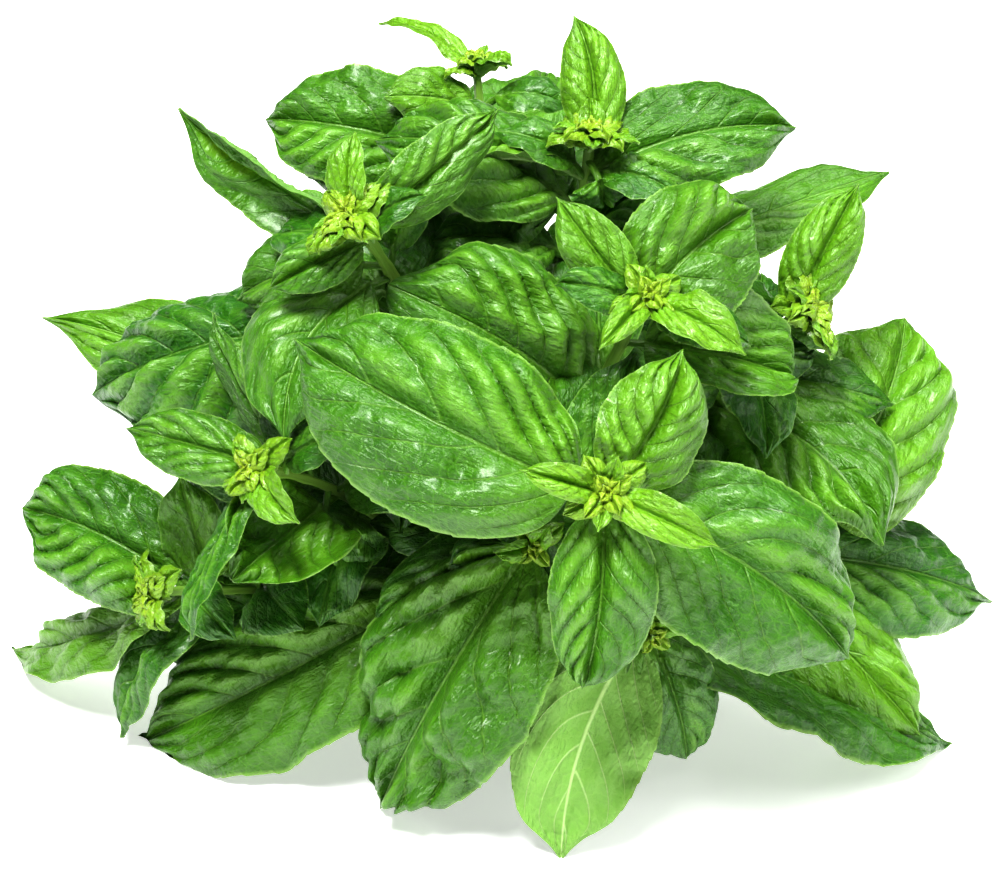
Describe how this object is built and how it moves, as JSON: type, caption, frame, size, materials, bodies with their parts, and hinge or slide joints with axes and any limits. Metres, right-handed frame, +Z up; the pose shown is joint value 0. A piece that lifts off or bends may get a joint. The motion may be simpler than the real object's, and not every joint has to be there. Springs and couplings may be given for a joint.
{
  "type": "basil bunch",
  "caption": "Bunch of fresh basil lying on a surface: cut square stems run back from a leafy dome of broad, glossy, arched leaves with young leaves at each growing tip.",
  "frame": {"origin": "middle of the bunch's footprint, on the surface it lies on", "axes": "+Z up from the surface; -Y out of the leafy face of the bunch, towards the viewer; +Y towards the cut stem ends; +X to the right as the leafy face is seen"},
  "size_m": [0.259, 0.2417, 0.1803],
  "materials": {
    "leaf": "glossy upper side, puckered between the veins, matt paler underside",
    "leaf_underside": "matt pale underside turned to the viewer, raised veins",
    "stem": "satin, pale green square stem with yellow-green young leaves at the tip"
  },
  "bodies": {
    "root": {"stem_centre": "stem", "stem_upper": "stem", "stem_upper_left": "stem", "stem_top": "stem", "stem_crown": "stem", "stem_left": "stem", "stem_low_left": "stem", "stem_upper_right": "stem", "stem_right": "stem", "stem_low_front": "stem", "stem_low_right": "stem", "centre_left": "leaf", "centre_right": "leaf", "centre_up": "leaf", "centre_down": "leaf", "upper_slim": "leaf", "upper_broad": "leaf", "upper_cup": "leaf", "upper_dome": "leaf", "curl_left": "leaf", "lance": "leaf", "small_dark": "leaf", "hanging": "leaf", "hanging_side": "leaf", "left_big": "leaf", "upright": "leaf", "top_right": "leaf", "top_edge": "leaf", "top_left": "leaf", "top_far": "leaf", "crown_low": "leaf", "crown_curl": "leaf", "left_veined": "leaf", "left_tall": "leaf", "left_back": "leaf", "round_left": "leaf", "floor_left": "leaf", "low_left_vein": "leaf", "low_left_blade": "leaf", "low_left_tall": "leaf", "front_left": "leaf", "front": "leaf", "front_curl": "leaf", "front_inner": "leaf", "front_pale": "leaf_underside", "front_dark": "leaf", "right_under": "leaf", "right_round": "leaf", "right_point": "leaf", "right_floor": "leaf", "right_upright": "leaf", "right_mid": "leaf", "back_crown": "leaf", "back_crown_left": "leaf", "back_crown_right": "leaf", "back_left": "leaf", "back_right": "leaf", "back_low": "leaf"}
  },
  "joints": []
}
